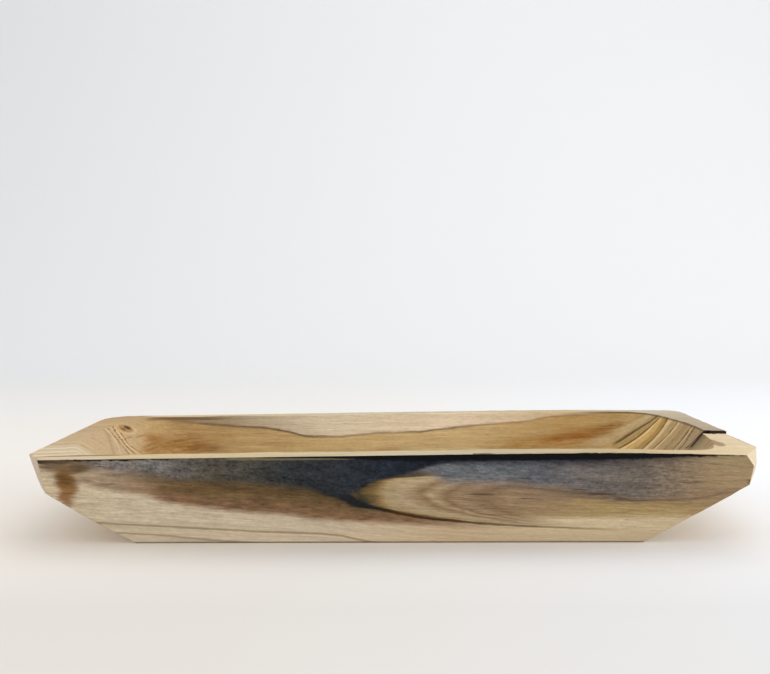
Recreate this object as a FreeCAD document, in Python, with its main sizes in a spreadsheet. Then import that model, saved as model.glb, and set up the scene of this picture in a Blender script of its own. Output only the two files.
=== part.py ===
import FreeCAD, Part
import math
import os
import Sketcher

# A long shallow dough bowl carved from one block of pale, fast-grown wood.
# Frame: millimetres, +X along the grain to the right, +Y to the far long side, +Z up.
# The origin is the middle of the footprint, on the flat base.

os.makedirs("parts", exist_ok=True)
doc = FreeCAD.newDocument("dough_bowl")
sheet = doc.addObject("Spreadsheet::Sheet", "dims")

DRIVING_SIZES = {
    # The sawn block, seen from the long side
    "overall_length": 520,
    "overall_width": 235,
    "block_height": 69.5,
    "crown_rim_height": 68.3,
    "left_rim_drop": 4.3,
    "right_rim_drop": 0.1,
    "crown_start": 90,
    "left_base_reach": 184,
    "right_base_reach": 175.5,
    "left_lip_depth": 22,
    "right_lip_depth": 18.4,
    "left_lip_lean": 12,
    "right_lip_lean": 6,
    "left_underside_radius": 550,
    "right_underside_radius": 1350,
    # The long sides, which lean out from the base to the rim
    "near_side_lean": 25,
    "far_side_lean": 25,
    # The four upright corners
    "far_left_corner_radius": 28,
    "far_right_corner_radius": 15,
    "left_cut_along": 14,
    "left_cut_across": 26,
    "left_cut_along_at_foot": 4.5,
    "right_cut_along": 13,
    "right_cut_across": 31,
    "right_cut_along_at_foot": 8.5,
    "chip_along": 23,
    "chip_across": 40,
    "chip_height": 11.5,
    # The carved hollow
    "long_rim_thickness": 16,
    "left_lip_width": 21.5,
    "right_lip_width": 17,
    "end_bow_radius": 265,
    "floor_thickness": 14,
    "left_floor_setback": 88,
    "right_floor_setback": 91.5,
    "floor_side_setback": 34,
    "end_wall_power": 0.6,
    "side_wall_power": 0.5,
    "rim_corner_radius": 26,
    "floor_corner_radius": 40,
    # The split along the grain in the right-hand lip
    "split_from_middle": 15.5,
    "split_drop": 2.4,
    "settled_length": 135,
    "crack_width": 3.6,
    "crack_length": 14,
    "crack_depth": 11,
    # The worn edges
    "left_lip_shoulder": 8,
    "inner_rim_radius": 1.2,
    "outer_edge_radius": 1.2,
}

# Room that a cut takes beyond the block, so that it always passes right through
OVERCUT = 15

# How suddenly the left end of the hollow flares out into its shoulder
SHOULDER_POWER = 16

# Levels of the hollow's carved sections, as shares of its depth from the floor
HOLLOW_LEVELS = (0, 0.08, 0.3, 0.6, 0.88, 1.05)

# The rim rises in a straight line from the left end to where its crown starts, and from there
# one arc that leaves this line smoothly bends down to the right end.
RIM_SLOPE = "(dims.left_rim_drop / (dims.crown_start + dims.overall_length / 2))"
CROWN_RUN = "(dims.overall_length / 2 - dims.crown_start)"
CROWN_CHORD_SQUARED = f"(pow({CROWN_RUN}; 2) + pow(dims.right_rim_drop; 2))"
CROWN_BEND = f"((dims.right_rim_drop + {RIM_SLOPE} * {CROWN_RUN}) * cos(atan({RIM_SLOPE})))"
CROWN_RADIUS = f"({CROWN_CHORD_SQUARED} / (2 * {CROWN_BEND}))"


def fill_sheet():
    for row, (alias, value) in enumerate(DRIVING_SIZES.items(), start=1):
        sheet.set(f"A{row}", alias)
        sheet.set(f"B{row}", str(value))
        sheet.setAlias(f"B{row}", alias)
    doc.recompute()


def value_of(expression):
    return float(sheet.evalExpression(expression))


def rim_height(end):
    """The rim's height at the left or right end."""
    return f"(dims.crown_rim_height - dims.{end}_rim_drop)"


def new_sketch(body, name, role, offset=None):
    """A sketch on one of the body's origin planes, or at an offset along that plane's normal."""
    plane = next(item for item in body.Origin.OriginFeatures if item.Role == role)
    sketch = body.newObject("Sketcher::SketchObject", name)
    sketch.AttachmentSupport = [(plane, "")]
    sketch.MapMode = "FlatFace"
    if offset is not None:
        sketch.setExpression("AttachmentOffset.Base.z", offset)
    return sketch


def pin_point(sketch, edge, end, across, up):
    """Hold one end of an edge at a place worked out from the sheet."""
    for kind, expression in (("DistanceX", across), ("DistanceY", up)):
        start = Sketcher.Constraint(kind, -1, 1, edge, end, value_of(expression))
        index = sketch.addConstraint(start)
        sketch.setExpression(f"Constraints[{index}]", expression)


def closed_outline(sketch, corners, arcs=None):
    """Join corners, given as expression pairs, with lines or with arcs of a named radius."""
    arcs = arcs or {}
    places = [FreeCAD.Vector(value_of(x), value_of(y), 0) for x, y in corners]
    edges = []
    for index, start in enumerate(places):
        end = places[(index + 1) % len(places)]
        if index in arcs:
            edges.append(sketch.addGeometry(arc_between(start, end, value_of(arcs[index]))))
        else:
            edges.append(sketch.addGeometry(Part.LineSegment(start, end)))
    for index, edge in enumerate(edges):
        pin_point(sketch, edge, 1, *corners[index])
        following = edges[(index + 1) % len(edges)]
        sketch.addConstraint(Sketcher.Constraint("Coincident", edge, 2, following, 1))
        if index in arcs:
            radius = sketch.addConstraint(Sketcher.Constraint("Radius", edge, value_of(arcs[index])))
            sketch.setExpression(f"Constraints[{radius}]", arcs[index])


def arc_between(start, end, radius):
    """An arc that runs anticlockwise from start to end and bulges to the right of the way."""
    chord = end - start
    half = chord.Length / 2
    rise = radius - math.sqrt(radius ** 2 - half ** 2)
    outward = FreeCAD.Vector(chord.y, -chord.x, 0).normalize()
    middle = start + chord * 0.5 + outward * rise
    return Part.Arc(start, middle, end)


def bowed_rectangle(sketch, left, right, half_width, radius, bow):
    """A long rectangle about the X axis with round corners, whose two ends bow outwards."""
    west, east, north = value_of(left), value_of(right), value_of(half_width)
    bend, bow_radius = value_of(radius), value_of(bow)
    # Where a corner's centre lies from the bow's centre, and where the two arcs meet
    rise = north - bend
    reach = math.sqrt((bow_radius - bend) ** 2 - rise ** 2)
    meeting = bow_radius / (bow_radius - bend)
    east_corner, west_corner = east - bow_radius + reach, west + bow_radius - reach
    east_tip, west_tip = east - bow_radius + reach * meeting, west + bow_radius - reach * meeting
    tips = ((west_corner, -north), (east_corner, -north), (east_tip, -rise * meeting),
            (east_tip, rise * meeting), (east_corner, north), (west_corner, north),
            (west_tip, rise * meeting), (west_tip, -rise * meeting))
    tips = [FreeCAD.Vector(x, y, 0) for x, y in tips]
    near_side = sketch.addGeometry(Part.LineSegment(tips[0], tips[1]))
    east_end = sketch.addGeometry(arc_between(tips[2], tips[3], bow_radius))
    far_side = sketch.addGeometry(Part.LineSegment(tips[4], tips[5]))
    west_end = sketch.addGeometry(arc_between(tips[6], tips[7], bow_radius))
    sides = (near_side, east_end, far_side, west_end)
    bends = []
    for start, end in ((1, 2), (3, 4), (5, 6), (7, 0)):
        bends.append(sketch.addGeometry(arc_between(tips[start], tips[end], bend)))
    for index, corner in enumerate(bends):
        following = sides[(index + 1) % 4]
        sketch.addConstraint(Sketcher.Constraint("Tangent", sides[index], 2, corner, 1))
        sketch.addConstraint(Sketcher.Constraint("Tangent", corner, 2, following, 1))
    for corner in bends[1:]:
        sketch.addConstraint(Sketcher.Constraint("Equal", bends[0], corner))
    sketch.addConstraint(Sketcher.Constraint("Equal", east_end, west_end))
    for side in (near_side, far_side):
        sketch.addConstraint(Sketcher.Constraint("Horizontal", side))
    for end in (east_end, west_end):
        sketch.addConstraint(Sketcher.Constraint("PointOnObject", end, 3, -1))
    bound = (("DistanceY", near_side, 1, f"-({half_width})"), ("DistanceY", far_side, 1, half_width),
             ("DistanceX", east_end, 3, f"{right} - {bow}"), ("DistanceX", west_end, 3, f"{left} + {bow}"))
    for kind, side, point, expression in bound:
        start = Sketcher.Constraint(kind, -1, 1, side, point, value_of(expression))
        index = sketch.addConstraint(start)
        sketch.setExpression(f"Constraints[{index}]", expression)
    for edge, size in ((bends[0], radius), (east_end, bow)):
        index = sketch.addConstraint(Sketcher.Constraint("Radius", edge, value_of(size)))
        sketch.setExpression(f"Constraints[{index}]", size)


def cut_away(body, name, sketch, **settings):
    """Pocket a sketch out of the body, and stop if nothing was taken away."""
    doc.recompute()
    before = body.Shape.Volume
    pocket = body.newObject("PartDesign::Pocket", name)
    pocket.Profile = sketch
    for key, value in settings.items():
        setattr(pocket, key, value)
    doc.recompute()
    if body.Shape.Volume >= before:
        raise ValueError(f"{name} cuts nothing")
    return pocket


def carve_loft(body, name, sections, ruled):
    """Carve away the space between sketches that lie one above the other."""
    doc.recompute()
    before = body.Shape.Volume
    loft = body.newObject("PartDesign::SubtractiveLoft", name)
    loft.Profile = sections[0]
    loft.Sections = sections[1:]
    loft.Ruled = ruled
    doc.recompute()
    if body.Shape.Volume >= before:
        raise ValueError(f"{name} cuts nothing")
    return loft


def add_block(body):
    """The block's long outline, with its sloping undersides, pushed out to the full width."""
    sketch = new_sketch(body, "long_outline", "XZ_Plane")
    corners = [
        ("-dims.left_base_reach", "0"),
        ("dims.right_base_reach", "0"),
        ("dims.overall_length / 2 - dims.right_lip_lean", f"{rim_height('right')} - dims.right_lip_depth"),
        ("dims.overall_length / 2", rim_height("right")),
        ("dims.crown_start", "dims.crown_rim_height"),
        ("-dims.overall_length / 2", rim_height("left")),
        ("-dims.overall_length / 2 + dims.left_lip_lean", f"{rim_height('left')} - dims.left_lip_depth"),
    ]
    arcs = {
        1: "dims.right_underside_radius",
        3: CROWN_RADIUS,
        6: "dims.left_underside_radius",
    }
    closed_outline(sketch, corners, arcs)
    block = body.newObject("PartDesign::Pad", "block")
    block.Profile = sketch
    block.SideType = "Symmetric"
    block.setExpression("Length", "dims.overall_width")
    doc.recompute()


def lean_long_sides(body):
    """Saw both long sides so that they lean out from the base to the rim."""
    top = f"dims.block_height + {OVERCUT}"
    for name, sign in (("near_side", "-"), ("far_side", "")):
        lean = f"dims.{name}_lean"
        spread = f"{lean} / dims.block_height * {OVERCUT}"
        sketch = new_sketch(body, f"{name}_outline", "YZ_Plane")
        corners = [
            (f"{sign}(dims.overall_width / 2 - {lean} - {spread})", f"-{OVERCUT}"),
            (f"{sign}(dims.overall_width / 2 + {OVERCUT})", f"-{OVERCUT}"),
            (f"{sign}(dims.overall_width / 2 + {OVERCUT})", top),
            (f"{sign}(dims.overall_width / 2 + {spread})", top),
        ]
        closed_outline(sketch, corners)
        cut_away(body, name, sketch, SideType="Symmetric", Type="ThroughAll")


def facet_line(side, height, along, across):
    """A triangle whose long side crosses a near corner at this height, and its tip is outside."""
    near_face = f"(-dims.overall_width / 2 + dims.near_side_lean * (1 - {height} / dims.block_height))"
    return [
        (f"{side}(dims.overall_length / 2 - 2 * {along})", f"{near_face} - {across}"),
        (f"{side}(dims.overall_length / 2 + {along})", f"{near_face} + 2 * {across}"),
        (f"{side}(dims.overall_length / 2 + {along} + {OVERCUT})", f"{near_face} - {across} - {OVERCUT}"),
    ]


def knock_off_corner(body, name, side, head, foot):
    """Take a near corner off between two levels, each given as height, along and across."""
    sections = []
    for place, (height, along, across) in (("head", head), ("foot", foot)):
        sketch = new_sketch(body, f"{name}_{place}", "XY_Plane", height)
        closed_outline(sketch, facet_line(side, height, along, across))
        sections.append(sketch)
    return carve_loft(body, name, sections, True)


def knock_off_near_corners(body):
    """Flat facets on both near corners, which keep less of their width at the lip's foot."""
    for name, side in (("left", "-"), ("right", "")):
        along = f"dims.{name}_cut_along"
        at_foot = f"(dims.{name}_cut_along_at_foot + dims.{name}_lip_lean)"
        across = f"dims.{name}_cut_across"
        fall = f"({along} - {at_foot}) / dims.{name}_lip_depth"
        low = "dims.floor_thickness"
        reach = f"({along} - {fall} * ({rim_height(name)} - {low}))"
        knock_off_corner(body, f"{name}_near_corner", side,
                         ("dims.block_height", along, across), (low, reach, across))


def chip_right_corner(body):
    """The larger fresh chip at the top of the right-hand near corner."""
    foot = f"({rim_height('right')} - dims.chip_height)"
    knock_off_corner(body, "chip", "",
                     ("dims.block_height", "dims.chip_along", "dims.chip_across"),
                     (foot, "dims.right_cut_along", "dims.right_cut_across"))


def carve_hollow(body):
    """Carve the open hollow. Its walls ease into the floor, and its left end has a soft shoulder."""
    depth = "(dims.crown_rim_height - dims.floor_thickness)"
    left_rim_level = f"(({rim_height('left')} - dims.floor_thickness) / {depth})"
    sections = []
    for index, level in enumerate(HOLLOW_LEVELS):
        end_share = f"pow({level}; dims.end_wall_power)" if level else "0"
        side_share = f"pow({level}; dims.side_wall_power)" if level else "0"
        drop_share = f"pow({left_rim_level} / {level}; {SHOULDER_POWER})" if level else "0"
        shoulder = f"dims.left_lip_shoulder * 2 / (1 + {drop_share})" if level else "0"
        left = (f"-(dims.overall_length / 2 - dims.left_lip_width + {shoulder}"
                f" - dims.left_floor_setback * (1 - {end_share}))")
        right = (f"dims.overall_length / 2 - dims.right_lip_width"
                 f" - dims.right_floor_setback * (1 - {end_share})")
        across = (f"dims.overall_width / 2 - dims.long_rim_thickness"
                  f" - dims.floor_side_setback * (1 - {side_share})")
        bend = (f"dims.floor_corner_radius"
                f" - (dims.floor_corner_radius - dims.rim_corner_radius) * {side_share}")
        height = f"dims.floor_thickness + {depth} * {level}"
        sketch = new_sketch(body, f"hollow_section_{index}", "XY_Plane", height)
        bowed_rectangle(sketch, left, right, across, bend, "dims.end_bow_radius")
        sections.append(sketch)
    carve_loft(body, "hollow", sections, False)


def settle_split_lip(body):
    """The near half of the right lip has split along the grain and settled a little."""
    sketch = new_sketch(body, "settled_outline", "XZ_Plane", "dims.split_from_middle")
    end = "dims.overall_length / 2"
    settled = f"{rim_height('right')} - dims.split_drop"
    corners = [
        (f"{end} - dims.settled_length", "dims.crown_rim_height + dims.split_drop / 4"),
        (end, settled),
        (f"{end} + {OVERCUT}", settled),
        (f"{end} + {OVERCUT}", f"dims.crown_rim_height + {OVERCUT}"),
        (f"{end} - dims.settled_length", f"dims.crown_rim_height + {OVERCUT}"),
    ]
    closed_outline(sketch, corners)
    cut_away(body, "settled_lip", sketch, Type="ThroughAll", Reversed=True)


def open_crack(body):
    """The crack that runs from the step down the inner end wall, narrowing to a point."""
    sketch = new_sketch(body, "crack_outline", "XY_Plane", f"dims.crown_rim_height + {OVERCUT}")
    lip_edge = "dims.overall_length / 2 - dims.right_lip_width"
    corners = [
        (f"{lip_edge} - dims.crack_length", "-dims.split_from_middle"),
        (f"{lip_edge} + dims.crack_width", "-dims.split_from_middle - dims.crack_width / 2"),
        (f"{lip_edge} + dims.crack_width", "-dims.split_from_middle + dims.crack_width / 2"),
    ]
    closed_outline(sketch, corners)
    pocket = cut_away(body, "crack", sketch, Length=OVERCUT * 2)
    pocket.setExpression("Length", f"dims.crack_depth + {OVERCUT}")
    doc.recompute()


def find_edges(shape, test):
    """Names of the edges whose end points and middle all pass the test."""
    names = []
    for index, edge in enumerate(shape.Edges, start=1):
        middle = edge.valueAt((edge.FirstParameter + edge.LastParameter) / 2)
        ends = [vertex.Point for vertex in edge.Vertexes]
        if all(test(point) for point in ends + [middle]):
            names.append(f"Edge{index}")
    return names


def round_edges(body, name, test, radius):
    """Round the edges that pass the test to a radius from the sheet."""
    doc.recompute()
    base = body.Tip
    names = find_edges(base.Shape, test)
    if not names:
        raise ValueError(f"{name} finds no edge")
    fillet = body.newObject("PartDesign::Fillet", name)
    fillet.Base = (base, names)
    fillet.setExpression("Radius", radius)
    doc.recompute()
    return fillet


def round_far_corners(body):
    """Round the two upright corners at the far side."""
    half_length = value_of("dims.overall_length / 2")
    half_width = value_of("dims.overall_width / 2")
    for name, side in (("left", -1), ("right", 1)):
        lean = value_of(f"dims.{name}_lip_lean")
        foot = value_of(f"{rim_height(name)} - dims.{name}_lip_depth")

        def on_corner(point):
            at_end = side * point.x > half_length - lean - 0.01
            at_side = point.y > half_width - value_of("dims.far_side_lean")
            return at_end and at_side and point.z > foot - 0.01

        round_edges(body, f"far_{name}_corner", on_corner, f"dims.far_{name}_corner_radius")


def soften_outer_edges(body):
    """Take the sharpness off every outer edge of the sawn block."""
    round_edges(body, "outer_edges", lambda point: True, "dims.outer_edge_radius")


def soften_inner_rim(body):
    """Take the sharpness off the edge where the hollow meets the rim's top."""
    half_width = value_of("dims.overall_width / 2 - dims.long_rim_thickness")
    half_length = value_of("dims.overall_length / 2 - dims.right_lip_width")
    lowest = value_of(rim_height("left"))

    def on_inner_rim(point):
        inside = abs(point.y) < half_width + 1 and point.x < half_length + 1
        return inside and point.z > lowest - 0.5

    round_edges(body, "inner_rim", on_inner_rim, "dims.inner_rim_radius")


def make_bowl():
    body = doc.addObject("PartDesign::Body", "bowl")
    body.Label = "bowl"
    add_block(body)
    lean_long_sides(body)
    round_far_corners(body)
    knock_off_near_corners(body)
    soften_outer_edges(body)
    carve_hollow(body)
    soften_inner_rim(body)
    chip_right_corner(body)
    settle_split_lip(body)
    open_crack(body)
    return body


fill_sheet()
bowl = make_bowl()
doc.recompute()
for item in doc.Objects:
    if "Invalid" in item.State or "Error" in item.State:
        raise ValueError(f"{item.Name} did not build: {item.State}")
for body in (bowl,):
    if body.Shape.isNull() or not body.Shape.isValid():
        raise ValueError(f"{body.Label} has no valid shape")
    body.Shape.exportStep(f"parts/{body.Label}.step")
    print(body.Label, round(body.Shape.Volume / 1e6, 4), "litres of wood", len(body.Shape.Solids), "solid")
    print(body.Shape.BoundBox)
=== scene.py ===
import math

import bmesh
import bpy
from mathutils import Matrix, Vector, noise


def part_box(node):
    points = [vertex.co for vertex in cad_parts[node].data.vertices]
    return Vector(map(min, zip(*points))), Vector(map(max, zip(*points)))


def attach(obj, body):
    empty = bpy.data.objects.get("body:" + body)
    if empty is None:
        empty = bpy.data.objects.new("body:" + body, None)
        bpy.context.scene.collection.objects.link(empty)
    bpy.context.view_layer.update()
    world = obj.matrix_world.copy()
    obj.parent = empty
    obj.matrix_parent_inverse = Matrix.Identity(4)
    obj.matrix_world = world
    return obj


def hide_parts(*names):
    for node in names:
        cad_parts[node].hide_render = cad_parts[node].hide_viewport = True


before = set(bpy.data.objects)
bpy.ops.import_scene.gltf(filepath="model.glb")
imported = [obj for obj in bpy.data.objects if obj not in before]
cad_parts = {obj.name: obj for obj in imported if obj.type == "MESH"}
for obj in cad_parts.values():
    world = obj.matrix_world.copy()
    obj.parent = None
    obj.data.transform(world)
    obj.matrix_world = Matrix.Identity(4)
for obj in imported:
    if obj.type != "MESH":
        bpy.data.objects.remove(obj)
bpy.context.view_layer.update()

# The frame is in metres. Places and sizes on the bowl are written in millimetres.
MM = 0.001
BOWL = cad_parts["bowl"]
LOW, HIGH = (Vector(corner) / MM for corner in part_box("bowl"))

# The camera of the photograph, fitted to the bowl's outline in a picture 770 pixels wide
PICTURE_WIDTH = 770
FOCAL_PIXELS = 1010
SENSOR_MM = 36
CAMERA_PLACE = Vector((-7.1, -799.8, 182.3)) * MM
CAMERA_DOWN = math.radians(2.934)
CAMERA_ROLL = math.radians(-0.117)

# The mouth of the hollow: its half width, and its two ends, which bow outwards
MOUTH_HALF_WIDTH = 102.7
MOUTH_LEFT = -247.5
MOUTH_RIGHT = 243.8
MOUTH_BOW = 265
SPLIT_Y = -15.5

# Shares of the full light that reach the bowl's faces
SIDE_LIGHT = 0.72
FOOT_LIGHT = 0.62
TOP_LIGHT = 1.0
HOLLOW_LIGHT = 0.85
OUTER_LIGHT = 0.85
UNDER_LIGHT = 0.8


def linear(level):
    """A channel from 0 to 255, as a screen shows it, turned into an amount of light."""
    share = level / 255
    return share / 12.92 if share <= 0.04045 else ((share + 0.055) / 1.055) ** 2.4


def colour(red, green, blue, light=1.0):
    """The wood's own colour, from how it looks on a face that gets this share of the light."""
    return tuple(min(1.0, linear(level) / light) for level in (red, green, blue)) + (1,)


class Finish:
    """One material in the making. Its pattern is measured in millimetres on the bowl itself."""

    def __init__(self, name, roughness, shift=1.7):
        self.material = bpy.data.materials.new(name)
        self.material.use_nodes = True
        self.nodes = self.material.node_tree.nodes
        self.links = self.material.node_tree.links
        self.shader = self.nodes["Principled BSDF"]
        self.shader.inputs["Specular IOR Level"].default_value = 0.12
        coordinates = self.nodes.new("ShaderNodeTexCoord")
        split = self.nodes.new("ShaderNodeSeparateXYZ")
        self.links.new(coordinates.outputs["Object"], split.inputs[0])
        self.x, self.y, self.z = [self.calc("DIVIDE", axis, MM) for axis in split.outputs]
        self.roughness = roughness
        self.drift = self.clouds((50, 30, 6), shift=shift)
        self.ragged = self.clouds((16, 14, 1.7), rough=0.6, shift=shift + 7.4)

    def feed(self, socket, value):
        if isinstance(value, bpy.types.NodeSocket):
            self.links.new(value, socket)
        else:
            socket.default_value = value

    def calc(self, operation, *values):
        node = self.nodes.new("ShaderNodeMath")
        node.operation = operation
        for socket, value in zip(node.inputs, values):
            self.feed(socket, value)
        return node.outputs[0]

    def add(self, *values):
        total = values[0]
        for value in values[1:]:
            total = self.calc("ADD", total, value)
        return total

    def less(self, first, second):
        return self.calc("SUBTRACT", first, second)

    def times(self, *values):
        product = values[0]
        for value in values[1:]:
            product = self.calc("MULTIPLY", product, value)
        return product

    def soft(self, value, low, high):
        """A smooth step: 0 at low and 1 at high, whichever of them is the greater."""
        node = self.nodes.new("ShaderNodeMapRange")
        node.interpolation_type = "SMOOTHSTEP"
        node.inputs["From Min"].default_value = min(low, high)
        node.inputs["From Max"].default_value = max(low, high)
        node.inputs["To Min"].default_value = 0 if low < high else 1
        node.inputs["To Max"].default_value = 1 if low < high else 0
        self.feed(node.inputs["Value"], value)
        return node.outputs["Result"]

    def clouds(self, size, detail=3, rough=0.5, shift=0.0, at=None):
        """Cloudy values from about -1 to 1, with clouds of this size along three directions."""
        place = self.nodes.new("ShaderNodeCombineXYZ")
        for socket, along, length in zip(place.inputs, at or (self.x, self.y, self.z), size):
            self.feed(socket, self.calc("MULTIPLY_ADD", along, 1 / length, shift))
        node = self.nodes.new("ShaderNodeTexNoise")
        node.inputs["Scale"].default_value = 1
        node.inputs["Detail"].default_value = detail
        node.inputs["Roughness"].default_value = rough
        self.links.new(place.outputs[0], node.inputs["Vector"])
        return self.calc("MULTIPLY_ADD", node.outputs[0], 4, -2)

    def course(self, along, points):
        """A smooth line through a few points, each given as (along, height)."""
        first, last = points[0][0], points[-1][0]
        low = min(height for _, height in points)
        span = max(height for _, height in points) - low
        node = self.nodes.new("ShaderNodeFloatCurve")
        curve = node.mapping.curves[0]
        curve.points[0].location = (0, (points[0][1] - low) / span)
        curve.points[1].location = (1, (points[-1][1] - low) / span)
        for place, height in points[1:-1]:
            curve.points.new((place - first) / (last - first), (height - low) / span)
        for point in curve.points:
            point.handle_type = "AUTO_CLAMPED"
        node.mapping.update()
        self.feed(node.inputs["Value"], self.calc("DIVIDE", self.less(along, first), last - first))
        return self.calc("MULTIPLY_ADD", node.outputs[0], span, low)

    def spot(self, across, up, centre, reach, core=0.0):
        """A soft oval spot: 1 inside its core and 0 beyond its reach in the two directions."""
        square = self.add(
            self.calc("POWER", self.calc("DIVIDE", self.less(across, centre[0]), reach[0]), 2),
            self.calc("POWER", self.calc("DIVIDE", self.less(up, centre[1]), reach[1]), 2))
        return self.soft(self.calc("SQRT", square), 1, core)

    def streak(self, offset, half_width, core=0.3):
        """A soft line where the offset from it is nothing."""
        return self.soft(self.calc("ABSOLUTE", offset), half_width, half_width * core)

    def over(self, under, share, upper):
        """Lay one colour over another, by this share."""
        node = self.nodes.new("ShaderNodeMix")
        node.data_type = "RGBA"
        self.feed(node.inputs[0], share)
        self.feed(node.inputs[6], under)
        self.feed(node.inputs[7], upper)
        return node.outputs[2]

    def bands(self, value, light, stops):
        """Colours that follow a value, each stop given as (value, its red, green and blue)."""
        low, high = stops[0][0], stops[-1][0]
        node = self.nodes.new("ShaderNodeValToRGB")
        self.feed(node.inputs[0], self.calc("DIVIDE", self.less(value, low), high - low))
        elements = node.color_ramp.elements
        elements[0].color = colour(*stops[0][1], light)
        elements[1].color = colour(*stops[-1][1], light)
        for place, tone in stops[1:-1]:
            elements.new((place - low) / (high - low)).color = colour(*tone, light)
        return node.outputs[0]

    def shaded(self, shade, factor):
        """Make a colour lighter or darker by a factor."""
        node = self.nodes.new("ShaderNodeVectorMath")
        node.operation = "SCALE"
        self.feed(node.inputs[0], shade[:3] if isinstance(shade, tuple) else shade)
        self.feed(node.inputs["Scale"], factor)
        return node.outputs[0]

    def grain(self, at=None):
        """Fine fibres, broad streaks, flecks and short dark pores, drawn out along the grain."""
        fibres = self.clouds((26, 0.8, 0.8), detail=4, rough=0.65, at=at)
        streaks = self.clouds((110, 4, 4), detail=4, rough=0.6, shift=3.1, at=at)
        flecks = self.clouds((5, 1.5, 1.5), rough=0.7, shift=8.8, at=at)
        pores = self.soft(self.clouds((7, 0.5, 0.5), detail=1, shift=5.7, at=at), 0.75, 1.3)
        self.tone = self.add(
            self.times(fibres, 0.18), self.times(streaks, 0.12), self.times(flecks, 0.13),
            self.times(pores, -0.2))
        self.relief = self.less(self.times(fibres, 0.4), pores)

    def complete(self, shade, strength, depth):
        """Lay the grain over the colour, and give the shader its colour, roughness and relief."""
        shade = self.shaded(shade, self.add(1, self.times(self.tone, strength)))
        self.feed(self.shader.inputs["Base Color"], shade)
        patchy = self.clouds((40, 12, 12), shift=7.3)
        self.feed(self.shader.inputs["Roughness"], self.calc("MULTIPLY_ADD", patchy, 0.06, self.roughness))
        bump = self.nodes.new("ShaderNodeBump")
        bump.inputs["Strength"].default_value = 1
        bump.inputs["Distance"].default_value = depth * MM
        self.feed(bump.inputs["Height"], self.relief)
        self.links.new(bump.outputs[0], self.shader.inputs["Normal"])
        return self.material


# Lines on the near side, as (x, z) points

# The lower edges of the scorched band, of the golden end, of the grey haze and of the brown stain
SCORCH_FOOT = (
    (-256, 66), (-226, 62.5), (-210, 57), (-189, 54.3), (-171, 53), (-148, 49), (-113, 47), (-77, 43.6),
    (-45, 39.5), (-36, 37.5), (-26, 40), (-14, 47.3), (3, 51.2), (14, 54.6), (24, 58), (42, 60.2), (90, 60),
    (150, 60.5), (185, 62.5), (215, 66.5), (256, 69))
GOLD_FOOT = ((-256, 20), (88, 20), (140, 21), (256, 20))
HAZE_FOOT = (
    (-256, 62), (14, 56), (38, 46), (86, 44.5), (142, 36.5), (169, 33), (197, 34), (224, 39), (256, 50))
BROWN_FOOT = (
    (-256, 58), (-221, 50), (-204, 41), (-173, 36), (-156, 30), (-132, 26.5), (-108, 23.5), (-78, 21),
    (-54, 17.5), (-32, 16), (3, 14), (31, 12), (110, 6), (256, 2))

# The brown line along the haze's foot, and the dark vein that bounds the pale flame from below
HAZE_LINE = ((-256, 60), (88, 42), (130, 38.5), (151, 35.7), (172, 32.5), (204, 33.5), (230, 38), (256, 41))
VEIN = (
    (-256, 50), (-66, 46), (-45, 40), (-35, 35.5), (-28, 31.5), (-21, 28.8), (-2, 24.2), (14, 20.4),
    (38, 17.3), (70, 14.2), (96, 12.7), (144, 10.9), (256, 9))
VEIN_WIDTH = (
    (-256, 2), (-66, 3.5), (-45, 5.5), (-28, 4.3), (-20, 2.6), (0, 1.5), (40, 1.2), (100, 0.9), (256, 0.5))

# The rim's lower edge, and how far the black line under it (char, with painted shadow under the rounded rim
# edge) and the tan strip reach below it
RIM_LINE = ((-256, 63.6), (-240, 63.8), (-200, 65), (-133, 66), (3, 67.6), (90, 68.3), (150, 68), (256, 67))
CHAR_AND_SHADOW_WIDTH = (
    (-256, 0.8), (-248, 3.0), (-236, 3.0), (-222, 2.3), (-205, 1.9), (-190, 2.2), (-165, 2.0), (-140, 1.1),
    (-100, 1.4), (-85, 1.9), (-55, 2.3), (-30, 3.2), (3, 4.9), (60, 5.6), (120, 5.2), (160, 4.5), (185, 3.2),
    (212, 2.4), (230, 1.2), (256, 0.6))
STRIP_FOOT = ((-256, -3), (-140, -3), (-112, 3.0), (-90, 3.7), (-60, 3.8), (-35, 3.9), (-15, 0), (256, -3))

# Dark lines in the pale foot: points, where the line starts and ends, and its strength
FOOT_LINES = (
    (((-256, 19), (-205, 15.7), (-151, 12.4), (-103, 9.4), (-46, 6.6), (-10, 0), (256, -9)), -240, 20, 0.6),
    (((-256, 12), (-196, 8.2), (-164, 6.2), (-145, 4.1), (-117, 1.5), (256, -9)), -240, -100, 0.55),
    (((-256, 30), (-40, 16), (50, 15.5), (88, 13.2), (110, 12), (144, 10.3), (200, 8), (256, 7)),
     80, 150, 0.5))

# Short dark marks in the haze: centre and reach
HAZE_MARKS = (
    ((128, 41), (10, 1.6)), ((143, 37.5), (13, 1.8)), ((156, 33.6), (8, 1.1)), ((92, 34), (12, 1.2)),
    ((60, 37.5), (14, 1.4)), ((205, 46), (14, 1.1)))

# The blotch near the left end and the smear above it: centre, reach, core, strength and colour
END_STAINS = (
    ((-228, 59), (24, 8), 0.4, 0.8, (92, 74, 54)), ((-227.5, 45), (10.5, 17), 0.4, 0.94, (116, 82, 44)),
    ((-228.5, 49), (8.5, 8), 0.2, 0.8, (88, 62, 30)), ((-229.5, 33), (6, 9), 0.2, 0.75, (128, 90, 54)),
    ((-218, 56.5), (12, 4.2), 0.1, 0.75, (76, 57, 36)), ((-216, 48), (10, 3.5), 0.2, 0.55, (104, 78, 52)),
    ((-200, 45.2), (12, 1.1), 0.3, 0.5, (100, 74, 50)), ((-189, 53), (13, 1.1), 0.3, 0.35, (92, 76, 62)))

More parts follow.
